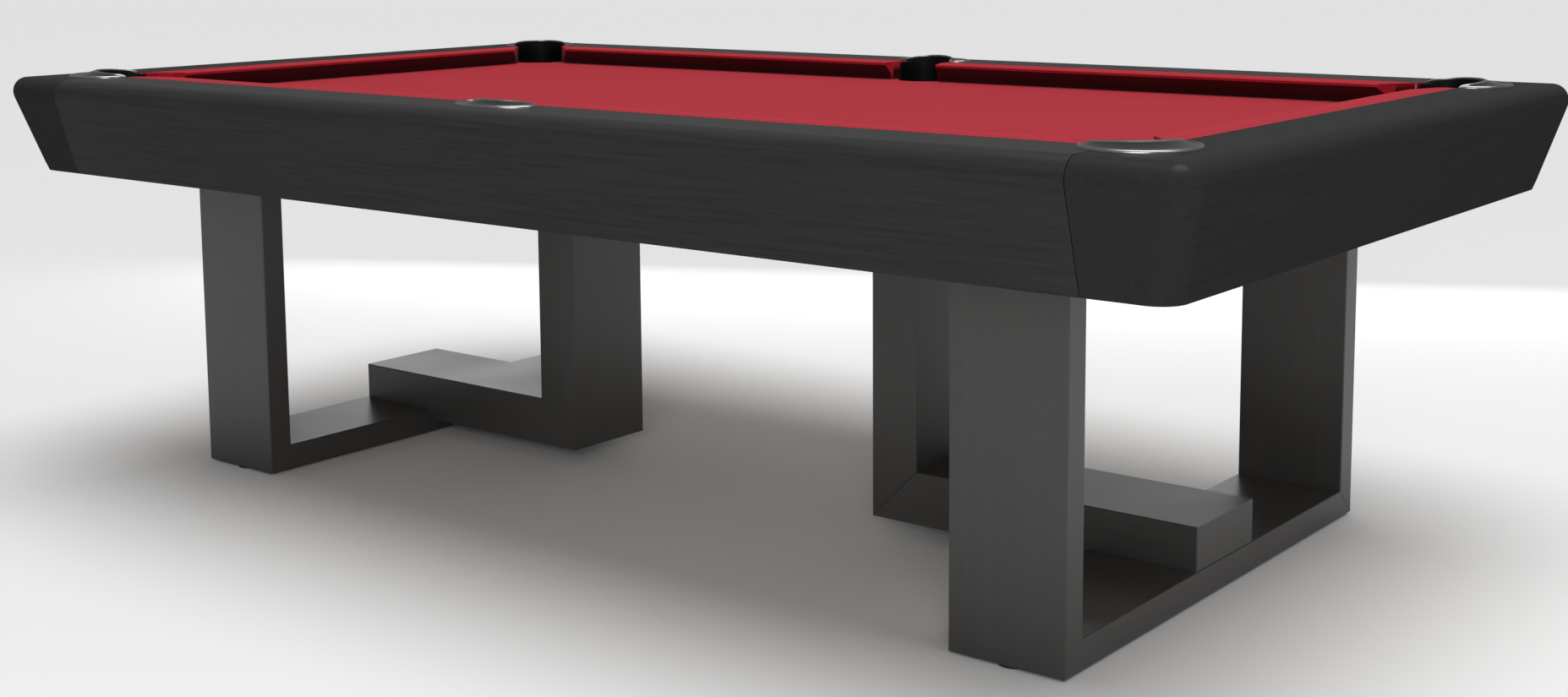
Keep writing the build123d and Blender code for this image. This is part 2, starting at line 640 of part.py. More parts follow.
def foot_parts():
    """Pad, stud and threaded insert of one levelling foot, standing at the origin."""
    pad = rod(0, 0, 0.0, FOOT_GAP - PAD_CLEARANCE, PAD_RADIUS)
    pad = chamfer(pad.edges().group_by(Axis.Z)[-1], 1.0)
    pad += rod(0, 0, 1.0, PAD_SOCKET_TOP, PAD_SOCKET_RADIUS)
    pad -= rod(0, 0, PAD_FLOOR, PAD_SOCKET_TOP + 1.0, STUD_RADIUS + STUD_CLEARANCE)
    stud = rod(0, 0, PAD_FLOOR + STUD_CLEARANCE, STUD_TOP, STUD_RADIUS)
    stud += hexagon(0, 0, HEX_BOTTOM, HEX_TOP, HEX_ACROSS_FLATS)
    insert = rod(0, 0, RECESS_TOP, INSERT_TOP, INSERT_RADIUS)
    insert -= rod(0, 0, RECESS_TOP - 1.0, INSERT_TOP + 1.0, STUD_RADIUS + STUD_CLEARANCE)
    return pad, stud, insert


def foot_cuts():
    """Recess and insert hole in the underside of the leg frame at each foot of the right end."""
    cuts = []
    for sy in SIDES.values():
        cuts.append(rod(OUTER_FRAME_X, sy * FOOT_Y, 0.0, RECESS_TOP, RECESS_RADIUS))
        cuts.append(rod(OUTER_FRAME_X, sy * FOOT_Y, 0.0, INSERT_TOP, INSERT_RADIUS))
    return cuts


# Assembly ------------------------------------------------------------------------------------

def main():
    os.makedirs("parts", exist_ok=True)

    bolts = [hex_bolt(x, y, SLATE_BOTTOM) for x, y in rail_bolt_spots()]
    bolts += [hex_bolt(x, y, CABINET_BOTTOM) for x, y in leg_bolt_spots()]
    bolt_group = group(bolts)
    export(bolt_group, "hex_bolts")
    rail_shanks = group(bolts[:len(rail_bolt_spots())])
    leg_shanks = group(bolts[len(rail_bolt_spots()):])

    leg, rail = outer_frame(foot_cuts())
    for end, sx in ENDS.items():
        export(rail if sx > 0 else mirror(rail, about=Plane.YZ), f"outer_floor_rail_{end}")
        for side, sy in SIDES.items():
            placed = leg if sx > 0 else mirror(leg, about=Plane.YZ)
            export(placed if sy > 0 else mirror(placed, about=Plane.XZ), f"outer_leg_{side}_{end}")
    leg, rail = inner_frame()
    for end, sx in ENDS.items():
        export(leg if sx > 0 else mirror(leg, about=Plane.YZ), f"inner_leg_{end}")
        export(rail if sx > 0 else mirror(rail, about=Plane.YZ), f"inner_floor_rail_{end}")

    pad, stud, insert = foot_parts()
    inserts = []
    for end, sx in ENDS.items():
        for side, sy in SIDES.items():
            place = Pos(sx * OUTER_FRAME_X, sy * FOOT_Y)
            export(place * pad, f"foot_pad_{side}_{end}")
            export(place * stud, f"foot_stud_{side}_{end}")
            inserts.append(place * insert)
    export(group(inserts), "foot_inserts")

    export(group([plate - leg_shanks for plate in leg_plates()]), "leg_top_plates")
    export(group([beam - leg_shanks for beam in beams()]), "cross_beams")
    export(group([timber - leg_shanks for timber in stretchers()]), "stretchers")

    screws = slate_screws()
    export(screws, "slate_screws")
    export(group([board - screws for board in liner()]), "slate_liner")
    for name, slab in slates(screws).items():
        export(slab, name)
    export(bed_cloth(), "bed_cloth")

    cushions = all_cushions()
    for place, parts in cushions.items():
        export(parts["cloth"], f"cushion_cloth_{place}")
    rubbers = [parts[key] for parts in cushions.values() for key in ("rubber", "facings")]
    export(group(rubbers), "cushion_rubbers")
    export(group([parts["wood"] - rail_shanks for parts in cushions.values()]), "sub_rails")
    export(group([parts["strip"] for parts in cushions.values()]), "feather_strips")

    for name, shape in at_each_pocket(casting).items():
        export(shape, f"pocket_casting_{name}")
    for name, shape in at_each_pocket(bucket).items():
        export(shape, f"pocket_bucket_{name}")

    plates, plate_screws = joint_plates()
    export(plates, "joint_plates")
    export(plate_screws, "wood_screws")
    for name, shape in cabinet_pieces(plate_screws).items():
        export(shape, name)


POCKETS = pocket_list()
main()
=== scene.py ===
"""The looks of a six-pocket pool table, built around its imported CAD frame.

Metres, in the CAD frame: origin on the floor under the middle, X along the length, Z up.
"depth" is the distance outwards from the line of the cushion noses.
"""
import json
from math import atan2, cos, degrees, pi, radians, sin, sqrt, tan

import bmesh
import bpy
from mathutils import Euler, Matrix, Vector


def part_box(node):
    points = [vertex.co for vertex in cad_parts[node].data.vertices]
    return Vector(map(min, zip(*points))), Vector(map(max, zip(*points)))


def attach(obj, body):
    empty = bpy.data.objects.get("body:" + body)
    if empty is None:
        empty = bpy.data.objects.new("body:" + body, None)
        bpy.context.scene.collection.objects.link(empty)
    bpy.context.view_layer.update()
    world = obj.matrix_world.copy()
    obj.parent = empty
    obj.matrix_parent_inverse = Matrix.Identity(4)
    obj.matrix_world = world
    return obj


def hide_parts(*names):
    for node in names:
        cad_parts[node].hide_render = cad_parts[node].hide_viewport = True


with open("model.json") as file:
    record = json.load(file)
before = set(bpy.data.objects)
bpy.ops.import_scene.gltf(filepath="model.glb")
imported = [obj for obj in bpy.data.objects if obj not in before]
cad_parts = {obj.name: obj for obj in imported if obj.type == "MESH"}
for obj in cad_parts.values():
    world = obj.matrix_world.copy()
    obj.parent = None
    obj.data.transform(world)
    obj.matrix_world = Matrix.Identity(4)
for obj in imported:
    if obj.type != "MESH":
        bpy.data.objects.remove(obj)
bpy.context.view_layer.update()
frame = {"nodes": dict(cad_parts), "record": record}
NODES = frame["nodes"]
MM = 0.001

ENDS = {"left": -1, "right": 1}
SIDES = {"front": -1, "back": 1}

# Places read from the frame
LONG_LOW, LONG_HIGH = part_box("cushion_cloth_back_right")
SHORT_LOW, SHORT_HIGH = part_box("cushion_cloth_end_right")
HALF_X = SHORT_LOW.x
HALF_Y = LONG_LOW.y
CLOTH_TOP = LONG_LOW.z
RAIL_TOP = LONG_HIGH.z
COVER_DEPTH = LONG_HIGH.y - LONG_LOW.y
WOOD_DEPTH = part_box("feather_strips")[1].y - HALF_Y
SHEET_LOW, SHEET_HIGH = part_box("bed_cloth")
APRON_LOW, APRON_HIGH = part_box("side_apron_back")
END_PIECE_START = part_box("end_apron_right")[0].x
CASTING_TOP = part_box("pocket_casting_back_right")[1].z


def pocket_place(name):
    """Centre in plan and outside radius of a pocket's bucket."""
    low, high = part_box("pocket_bucket_" + name)
    return Vector(((low.x + high.x) / 2, (low.y + high.y) / 2)), (high.x - low.x) / 2


CORNER_CENTRE, CORNER_RADIUS = pocket_place("back_right")
SIDE_CENTRE, SIDE_RADIUS = pocket_place("back_middle")

# Design values of the CAD that its boxes don't give
NOSE_Z = CLOTH_TOP + 34 * MM
RUBBER_BOTTOM = CLOTH_TOP + 13 * MM
RUBBER_DEPTH = 34 * MM
TOE_DEPTH = 17 * MM
CORNER_FACING = radians(38)
SIDE_FACING = radians(76)
CORNER_TIP = 88 * MM
SIDE_TIP = 65 * MM
HOLE_CLEARANCE = 0.5 * MM
BUCKET_WALL = 3.5 * MM
APRON_WALL = 25 * MM
EDGE_RADIUS = 32 * MM
CORNER_RADIUS_IN_PLAN = 42 * MM
DEPTH_LOW = 159 * MM
DEPTH_TOP = 213 * MM

# Shapes that only the visual model has
SAME_PLACE = 1e-6
CUT_MARGIN = 10 * MM
EDGE_ROLL = 2.0 * MM
EDGE_DROP = 3.2 * MM
CLOTH_THICKNESS = 0.9 * MM
NOSE_RADIUS = 4.2 * MM
NOSE_CENTRE_Z = NOSE_Z - 2.0 * MM
FACE_START = radians(41)
TUCK_WIDTH = 3.0 * MM
TUCK_DEPTH = 1.5 * MM
FACING_EDGE = 1.8 * MM
SEAM_ROUND = 1.2 * MM
BOTTOM_ROUND = 2.0 * MM
GROOVE_ROUND = 0.8 * MM
APRON_SHARP = radians(32)
BEAD_RADIUS = 3.7 * MM
LEAST_WIDTH = 1.5 * MM
FULL_HEIGHT_WIDTH = 12 * MM
LIP_TIP_SHARE = 0.30
# Section columns that bound the casting's painted highlight on the bead and on the lip
GUTTER_COLUMN = 9
CREST_COLUMN = 16
CORNER_SPREAD = radians(98)
SIDE_SPREAD = radians(77)
CORNER_ROUND_FROM = radians(58)
SIDE_ROUND_FROM = radians(56)
CORNER_MOUTH = radians(61)
SIDE_MOUTH = radians(77)
LINER_FLOOR_ROUND = 14 * MM
LINER_RIM_ROUND = 1.2 * MM
LINER_UNDER_CLOTH = 2.6 * MM
LINER_UNDER_RAIL = 2.0 * MM
LINER_UNDER_LIP = 2.5 * MM
LIP_BLEND = radians(14)
MOUTH_BLEND = radians(6)
FLOOR_HALF = 90.0
ROOM_LIGHT = 0.2


# Mesh helpers ----------------------------------------------------------------------------

def new_object(name, mesh):
    """An object in the scene for a mesh, light or camera."""
    obj = bpy.data.objects.new(name, mesh)
    bpy.context.scene.collection.objects.link(obj)
    return obj


def from_bmesh(name, bm, sharp=radians(35)):
    """A smooth-shaded object from a bmesh, sharp only where faces meet at more than the angle."""
    bmesh.ops.recalc_face_normals(bm, faces=bm.faces)
    mesh = bpy.data.meshes.new(name)
    bm.to_mesh(mesh)
    bm.free()
    mesh.shade_smooth()
    mesh.set_sharp_from_angle(angle=sharp)
    return new_object(name, mesh)


def around(centre, radius, angle, z):
    """A place at a height, at a radius and an angle about a centre in plan."""
    return centre[0] + radius * cos(angle), centre[1] + radius * sin(angle), z


def grid_faces(bm, rows, close_rows=False, close_columns=False):
    """Quads between neighbouring rows of vertices."""
    count = len(rows)
    width = len(rows[0])
    faces = []
    for i in range(count if close_rows else count - 1):
        a, b = rows[i], rows[(i + 1) % count]
        for j in range(width if close_columns else width - 1):
            k = (j + 1) % width
            faces.append(bm.faces.new((a[j], a[k], b[k], b[j])))
    return faces


def bevel_edges(bm, edges, width, segments=3):
    bmesh.ops.bevel(bm, geom=list(edges), offset=width, segments=segments, profile=0.5,
                    affect="EDGES", clamp_overlap=True)


def mirrored(obj, name, flip_x, flip_y):
    """A copy of a mesh object mirrored across the table's middle planes."""
    mesh = obj.data.copy()
    scale = Matrix.Diagonal((-1 if flip_x else 1, -1 if flip_y else 1, 1, 1))
    mesh.transform(scale)
    if flip_x != flip_y:
        mesh.flip_normals()
    mesh.name = name
    return new_object(name, mesh)


def turned(obj, name, angle):
    """A copy of a mesh object turned about Z."""
    mesh = obj.data.copy()
    mesh.transform(Matrix.Rotation(angle, 4, "Z"))
    mesh.name = name
    return new_object(name, mesh)


def cut(obj, cutters):
    """Subtract closed meshes from an object for good."""
    for cutter in cutters:
        modifier = obj.modifiers.new("cut", "BOOLEAN")
        modifier.operation = "DIFFERENCE"
        modifier.solver = "EXACT"
        modifier.object = cutter
    graph = bpy.context.evaluated_depsgraph_get()
    mesh = bpy.data.meshes.new_from_object(obj.evaluated_get(graph))
    obj.modifiers.clear()
    obj.data = mesh
    for cutter in cutters:
        bpy.data.objects.remove(cutter)


def cylinder(centre, radius, low, high, sides=96):
    """An upright closed cylinder to cut with."""
    bm = bmesh.new()
    rings = []
    angles = [2 * pi * i / sides for i in range(sides)]
    for z in (low, high):
        rings.append([bm.verts.new(around(centre, radius, a, z)) for a in angles])
    grid_faces(bm, rings, close_columns=True)
    for ring in rings:
        bm.faces.new(ring)
    return from_bmesh("cutter", bm)


# Materials -------------------------------------------------------------------------------

class Paint:
    """A node material with one Principled shader."""

    def __init__(self, name, **sockets):
        self.material = bpy.data.materials.new(name)
        self.material.use_nodes = True
        self.tree = self.material.node_tree
        self.shader = self.tree.nodes["Principled BSDF"]
        for socket, value in sockets.items():
            self.set(socket.replace("_", " "), value)

    def set(self, socket, value):
        if isinstance(value, bpy.types.NodeSocket):
            self.tree.links.new(value, self.shader.inputs[socket])
        else:
            self.shader.inputs[socket].default_value = value

    def node(self, kind, inputs=(), **settings):
        node = self.tree.nodes.new("ShaderNode" + kind)
        for key, value in settings.items():
            setattr(node, key, value)
        for key, value in dict(inputs).items():
            if isinstance(value, bpy.types.NodeSocket):
                self.tree.links.new(value, node.inputs[key])
            else:
                node.inputs[key].default_value = value
        return node

    def coordinates(self, scale=(1, 1, 1)):
        place = self.node("TexCoord").outputs["Object"]
        return self.node("Mapping", {"Vector": place, "Scale": scale}).outputs["Vector"]

    def noise(self, scale, stretch=(1, 1, 1), detail=4.0, roughness=0.55, distortion=0.0):
        node = self.node("TexNoise", {"Vector": self.coordinates(stretch), "Scale": scale, "Detail": detail,
                                      "Roughness": roughness, "Distortion": distortion})
        return node.outputs["Fac"]

    def remap(self, value, low, high, to_low, to_high):
        node = self.node("MapRange", {"Value": value, "From Min": low, "From Max": high,
                                      "To Min": to_low, "To Max": to_high})
        return node.outputs["Result"]

    def mix(self, factor, a, b):
        node = self.node("Mix", data_type="RGBA")
        for index, value in ((0, factor), (6, a), (7, b)):
            if isinstance(value, bpy.types.NodeSocket):
                self.tree.links.new(value, node.inputs[index])
            else:
                node.inputs[index].default_value = value
        return node.outputs[2]

    def upward(self):
        """How far the surface faces up, from -1 to 1."""
        normal = self.node("NewGeometry").outputs["Normal"]
        return self.node("SeparateXYZ", {"Vector": normal}).outputs["Z"]

    def bump(self, height, strength, distance, under=None):
        inputs = {"Height": height, "Strength": strength, "Distance": distance}
        if under is not None:
            inputs["Normal"] = under
        return self.node("Bump", inputs).outputs["Normal"]


def grey(value, warm=0.0):
    """A neutral colour, or a slightly warm one."""
    return (value * (1 + warm), value, value * (1 - warm), 1.0)


def painted_wood(name, tone, along, roughness, contrast, warm=0.0, gloss=0.5, coat=0.0):
    """Satin charcoal lacquer over wood whose fine grain runs along the given axis.

    The coat is a sheen that only upward faces have.
    """
    paint = Paint(name)
    across_grain, along_grain = 55.0, 1.6
    stretch = [along_grain if axis == along else across_grain for axis in "XYZ"]
    grain = paint.noise(3.0, stretch, detail=8.0, roughness=0.62, distortion=0.15)
    clouds = paint.noise(2.2, detail=2.0)
    orange_peel = paint.noise(420.0, detail=1.0)
    streaks = paint.remap(grain, 0.32, 0.68, 0.0, 1.0)
    dark, light = tone * (1 - 0.14 * contrast), tone * (1 + 0.12 * contrast)
    paint.set("Base Color", paint.mix(streaks, grey(dark, warm), grey(light, warm)))
    paint.set("Roughness", paint.remap(clouds, 0.3, 0.7, roughness - 0.04, roughness + 0.06))
    relief = paint.bump(grain, 0.08 * contrast, 0.0004)
    paint.set("Normal", paint.bump(orange_peel, 0.05, 0.0002, relief))
    paint.set("Specular IOR Level", gloss)
    paint.set("Coat Weight", paint.remap(paint.upward(), 0.35, 0.9, 0.0, coat))
    paint.set("Coat Roughness", 0.34)
    return paint.material


def cloth_material():
    """Red worsted billiard cloth: a fine twill under a short nap, with painted shade where it faces down.
    """
    paint = Paint("red_cloth_weave", Roughness=0.92)
    place = paint.coordinates()
    threads = paint.node("TexWave", {"Vector": place, "Scale": 420.0, "Distortion": 1.2, "Detail": 1.0,
                                     "Detail Scale": 3.0}, wave_type="BANDS", bands_direction="DIAGONAL")
    nap = paint.noise(900.0, detail=3.0, roughness=0.7)
    flecks = paint.noise(160.0, detail=4.0, roughness=0.65)
    patches = paint.noise(3.5, detail=2.0)
    dark, mid, light = (0.35, 0.009, 0.020, 1), (0.46, 0.013, 0.028, 1), (0.54, 0.020, 0.037, 1)
    body = paint.mix(paint.remap(flecks, 0.35, 0.65, 0.0, 1.0), dark, light)
    base = paint.mix(paint.remap(patches, 0.35, 0.65, 0.45, 0.75), body, mid)
    # Painted shade: cloth that faces down, as on the cushion faces under the nose, is mixed towards
    # near-black.
    under, painted_shade_colour = paint.remap(paint.upward(), -0.30, -0.08, 1.0, 0.0), (0.045, 0.001, 0.004, 1)
    paint.set("Base Color", paint.mix(under, base, painted_shade_colour))
    woven = paint.bump(threads.outputs["Fac"], 0.25, 0.0002)
    paint.set("Normal", paint.bump(nap, 0.45, 0.0003, woven))
    paint.set("Sheen Weight", 0.16)
    paint.set("Sheen Roughness", 0.45)
    paint.set("Sheen Tint", (1.0, 0.35, 0.38, 1.0))
    paint.set("Specular IOR Level", 0.2)
    return paint.material


def metal(name, tone, roughness):
    """Metal with faint polishing marks and smudges."""
    paint = Paint(name, Metallic=1.0)
    marks = paint.noise(260.0, detail=3.0)
    smudges = paint.noise(28.0, detail=3.0)
    paint.set("Base Color", paint.mix(smudges, grey(tone * 0.85), grey(tone * 1.12)))
    paint.set("Roughness", paint.remap(smudges, 0.3, 0.7, roughness * 0.8, roughness * 1.35))
    paint.set("Normal", paint.bump(marks, 0.03, 0.0001))
    return paint.material


def dull(name, tone, roughness, scale=500.0, strength=0.2, warm=0.0, gloss=0.5):
    """Rubber or moulded plastic with a fine pebbled surface."""
    paint = Paint(name)
    pebbles = paint.noise(scale, detail=2.0)
    stain = paint.noise(9.0, detail=3.0)
    paint.set("Base Color", paint.mix(stain, grey(tone * 0.8, warm), grey(tone * 1.25, warm)))
    paint.set("Roughness", paint.remap(pebbles, 0.3, 0.7, roughness - 0.06, roughness + 0.08))
    paint.set("Normal", paint.bump(pebbles, strength, 0.0003))
    paint.set("Specular IOR Level", gloss)
    return paint.material


def timber_material():
    """Sawn softwood with growth rings."""
    paint = Paint("sawn_timber")
    place = paint.coordinates((1.0, 1.0, 1.6))
    rings = paint.node("TexWave", {"Vector": place, "Scale": 7.0, "Distortion": 7.0, "Detail": 3.0,
                                   "Detail Scale": 0.8}, wave_type="BANDS", bands_direction="Y")
    fibres = paint.noise(14.0, (2.0, 40.0, 40.0), detail=6.0)
    pale, dark = (0.52, 0.35, 0.19, 1), (0.34, 0.20, 0.10, 1)
    wood = paint.mix(paint.remap(rings.outputs["Fac"], 0.2, 0.9, 0.0, 0.65), pale, dark)
    paint.set("Base Color", paint.mix(paint.remap(fibres, 0.3, 0.7, 0.0, 0.4), wood, dark))
    paint.set("Roughness", paint.remap(fibres, 0.3, 0.7, 0.6, 0.8))
    paint.set("Normal", paint.bump(fibres, 0.35, 0.0006))
    return paint.material


def slate_material():
    """Honed grey slate with faint cleavage marks."""
    paint = Paint("honed_slate")
    cleft = paint.noise(9.0, (1.0, 1.0, 5.0), detail=9.0, roughness=0.6)
    spots = paint.noise(160.0, detail=2.0)
    dark, mid, pale = (0.055, 0.060, 0.070, 1), (0.105, 0.112, 0.125, 1), (0.16, 0.165, 0.175, 1)
    base = paint.mix(paint.remap(cleft, 0.35, 0.7, 0.0, 1.0), dark, mid)
    paint.set("Base Color", paint.mix(paint.remap(spots, 0.45, 0.75, 0.0, 0.3), base, pale))
    paint.set("Roughness", paint.remap(cleft, 0.3, 0.7, 0.5, 0.7))
    paint.set("Normal", paint.bump(cleft, 0.3, 0.0008))
    return paint.material


CLOTH = cloth_material()
CABINET_LONG = painted_wood("cabinet_paint_long", 0.034, "X", roughness=0.5, gloss=0.02, coat=0.45,
                            contrast=1.2)
# The end pieces take a darker, less glossy copy of the same lacquer: painted shade for the ends, which face
# away from the light.
CABINET_SHORT_PAINTED_SHADE = painted_wood("cabinet_paint_short_painted_shade", 0.029, "Y", roughness=0.5, gloss=0.0, coat=0.34,
                             contrast=0.7)
LEG_UPRIGHT = painted_wood("leg_paint_upright", 0.047, "Z", warm=0.03, roughness=0.34, contrast=0.7)
LEG_ACROSS = painted_wood("leg_paint_across", 0.052, "Y", warm=0.03, roughness=0.34, contrast=0.7)
LEG_ALONG = painted_wood("leg_paint_along", 0.052, "X", warm=0.03, roughness=0.34, contrast=0.7)
PEWTER = metal("pewter_plating", 0.13, 0.16)
# A brighter copy of the pewter for each casting's bead and lip: a painted highlight along the rims, against
# the darker plating of the dish.
PEWTER_PAINTED_HIGHLIGHT = metal("pewter_painted_highlight", 0.40, 0.26)
ZINC = metal("zinc_plating", 0.55, 0.34)
BLACK_STEEL = dull("black_powder_coat", 0.022, 0.5, 700.0, 0.3)
POCKET_RUBBER = dull("black_pocket_rubber", 0.003, 0.5, 260.0, 0.25, gloss=0.12)
STRIP_PLASTIC = dull("black_strip_plastic", 0.010, 0.6)
FOOT_PLASTIC = dull("black_foot_plastic", 0.018, 0.5)
RUBBER = dull("tan_cushion_rubber", 0.40, 0.8, 300.0, 0.3, warm=0.25)
TIMBER = timber_material()
SLATE = slate_material()


def dress(obj, material):
    """Give an object one material."""
    obj.data.materials.clear()
    obj.data.materials.append(material)


def dress_cad_nodes():
    """Every CAD node gets a finished material; those that detailed pieces replace are hidden later."""
    by_slot = {
        "cabinet_paint": CABINET_LONG, "leg_paint": LEG_UPRIGHT, "timber": TIMBER, "slate": SLATE,
        "red_cloth": CLOTH, "cushion_rubber": RUBBER, "strip_plastic": STRIP_PLASTIC, "pewter": PEWTER,
        "pocket_rubber": POCKET_RUBBER, "zinc_steel": ZINC, "black_steel": BLACK_STEEL,
        "foot_plastic": FOOT_PLASTIC,
    }
    slots = {part["node"]: part["material_slot"] for part in frame["record"]["subparts"]}
    for name, obj in NODES.items():
        material = by_slot[slots[name]]
        if name.startswith("outer_floor_rail"):
            material = LEG_ACROSS
        if name.startswith("inner_floor_rail"):
            material = LEG_ALONG
        dress(obj, material)


# Bed cloth -------------------------------------------------------------------------------

def arc(centre, radius, start, stop, count):
    """Points on an arc, angles in degrees."""
    points = []
    for i in range(count + 1):
        a = radians(start + (stop - start) * i / count)
        points.append((centre[0] + radius * cos(a), centre[1] + radius * sin(a)))
    return points


def bed_outline(radius_extra):
    """The sheet's outline in one quarter, from the corner cut-out to the middle of the back."""
    edge_y = SHEET_HIGH.y
    radius = CORNER_RADIUS + radius_extra
    rise = edge_y - CORNER_CENTRE.y
    reach = degrees(atan2(rise, sqrt(radius ** 2 - rise ** 2)))
    corner = arc(CORNER_CENTRE, radius, reach - 90, -(180 + reach), 40)
    side = arc(SIDE_CENTRE, SIDE_RADIUS + radius_extra, 0, -90, 24)
    return corner + [(SIDE_CENTRE.x + SIDE_RADIUS + radius_extra, edge_y)] + side


def bed_loop(radius_extra):
    """The sheet's whole outline, mirrored from one quarter."""
    quarter = bed_outline(radius_extra)
    loop = list(quarter)
    loop += [(-x, y) for x, y in reversed(quarter[:-1])]
    loop += [(-x, -y) for x, y in quarter]
    loop += [(x, -y) for x, y in reversed(quarter[:-1])]
    return loop


def make_bed_cloth():
    """One stretched sheet whose edge rolls down over the slate at each pocket."""
    base = HOLE_CLEARANCE + 1.5 * MM
    bm = bmesh.new()
    rings = []
    for step in range(5):
        a = radians(90) * step / 4
        extra = base - EDGE_ROLL * sin(a)
        z = CLOTH_TOP - EDGE_ROLL * (1 - cos(a))
        rings.append([bm.verts.new((x, y, z)) for x, y in bed_loop(extra)])
    rings.append([bm.verts.new((x, y, CLOTH_TOP - EDGE_DROP)) for x, y in bed_loop(base - EDGE_ROLL)])
    grid_faces(bm, rings, close_columns=True)
    bm.faces.new(rings[0])
    bmesh.ops.recalc_face_normals(bm, faces=bm.faces)
    mesh = bpy.data.meshes.new("bed_cloth_sheet")
    bm.to_mesh(mesh)
    bm.free()
    mesh.shade_smooth()
    max(mesh.polygons, key=lambda face: face.area).use_smooth = False
    obj = new_object("bed_cloth_sheet", mesh)
    dress(obj, CLOTH)
    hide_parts("bed_cloth")
    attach(obj, "table")


# Cushions --------------------------------------------------------------------------------

def cushion_depths():
    """Depths across a cushion, close together round the nose."""
    nose = [NOSE_RADIUS * (1 - cos(radians(90) * i / 6)) for i in range(7)]
    rest = [6, 9, 12, 15, 17, 22, 28, 34, 41, 48, 55, 60, 62.5, 64.3]
    return nose + [d * MM for d in rest] + [COVER_DEPTH - 0.2 * MM]


def between(value, low, high, to_low, to_high):
    return to_low + (to_high - to_low) * (value - low) / (high - low)


def cushion_top(depth):
    """Height of the cloth on top: round nose, gentle rise, and a tuck into the feather strip's groove."""
    shoulder = NOSE_CENTRE_Z + NOSE_RADIUS
    back_of_rubber = RAIL_TOP - 0.3 * MM
    if depth < NOSE_RADIUS:
        return NOSE_CENTRE_Z + sqrt(max(0.0, NOSE_RADIUS ** 2 - (NOSE_RADIUS - depth) ** 2))
    if depth < RUBBER_DEPTH:
        return between(depth, NOSE_RADIUS, RUBBER_DEPTH, shoulder, back_of_rubber)
    tuck = max(0.0, (depth - (COVER_DEPTH - TUCK_WIDTH)) / TUCK_WIDTH)
    return between(depth, RUBBER_DEPTH, COVER_DEPTH, back_of_rubber, RAIL_TOP) - TUCK_DEPTH * tuck ** 2


def cushion_low(depth):
    """Height of the cloth below: the face runs straight back under the nose to the toe on the bed."""
    leave = NOSE_RADIUS * (1 - cos(FACE_START))
    leave_z = NOSE_CENTRE_Z - NOSE_RADIUS * sin(FACE_START)
    knee = TOE_DEPTH - 2 * MM
    if depth < leave:
        return NOSE_CENTRE_Z - sqrt(max(0.0, NOSE_RADIUS ** 2 - (NOSE_RADIUS - depth) ** 2))
    if depth < knee:
        return between(depth, leave, knee, leave_z, RUBBER_BOTTOM)
    return between(min(depth, TOE_DEPTH), knee, TOE_DEPTH, RUBBER_BOTTOM, CLOTH_TOP + 0.2 * MM)


def end_of(tip, cot, centre_s, centre_d, radius):
    """How far a cushion reaches at each depth: along its facing, then round the pocket liner."""
    def reach(depth):
        straight = tip + depth * cot
        gap = radius ** 2 - (depth - centre_d) ** 2
        if gap <= 0:
            return straight
        return min(straight, centre_s - sqrt(gap))
    return reach


def make_cushion(name, half_width, low_end, high_end):
    """A cushion along X on the +Y side: cloth over the top, nose, face and both facings."""
    bm = bmesh.new()
    depths = cushion_depths()
    middle = [0.06 + 0.88 * i / 16 for i in range(1, 16)]
    stations = [0.0, 0.004, 0.02, 0.06] + middle + [0.94, 0.98, 0.996, 1.0]

    def row(height, depth):
        start, stop = low_end(depth), high_end(depth)
        y, z = half_width + depth, height(depth)
        return [bm.verts.new((start + (stop - start) * share, y, z)) for share in stations]

    top = [row(cushion_top, d) for d in depths]
    low = [top[0]] + [row(cushion_low, d) for d in depths[1:]]
    grid_faces(bm, top)
    under = [r for r, d in zip(low, depths) if d <= TOE_DEPTH + SAME_PLACE]
    grid_faces(bm, under)
    for end in (0, -1):
        for i in range(len(depths) - 1):
            a, b, c, d = top[i][end], top[i + 1][end], low[i + 1][end], low[i][end]
            bm.faces.new((a, b, c) if a is d else (a, b, c, d))
    loose = [v for v in bm.verts if not v.link_faces]
    bmesh.ops.delete(bm, geom=loose, context="VERTS")
    rim = set()
    for end in (0, -1):
        for rows in (top, under):
            for i in range(len(rows) - 1):
                edge = bm.edges.get((rows[i][end], rows[i + 1][end]))
                if edge and len(edge.link_faces) == 2:
                    rim.add(edge)
    bevel_edges(bm, rim, FACING_EDGE)
    return from_bmesh(name, bm, radians(50))


def finish_cushion(obj, cad_node):
    """Give a cushion its cloth and thickness, hide the CAD node it replaces, and hold it on the table's
    body.
    """
    dress(obj, CLOTH)
    skin = obj.modifiers.new("thickness", "SOLIDIFY")
    skin.thickness = CLOTH_THICKNESS
    skin.offset = -1.0
    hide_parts(cad_node)
    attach(obj, "table")


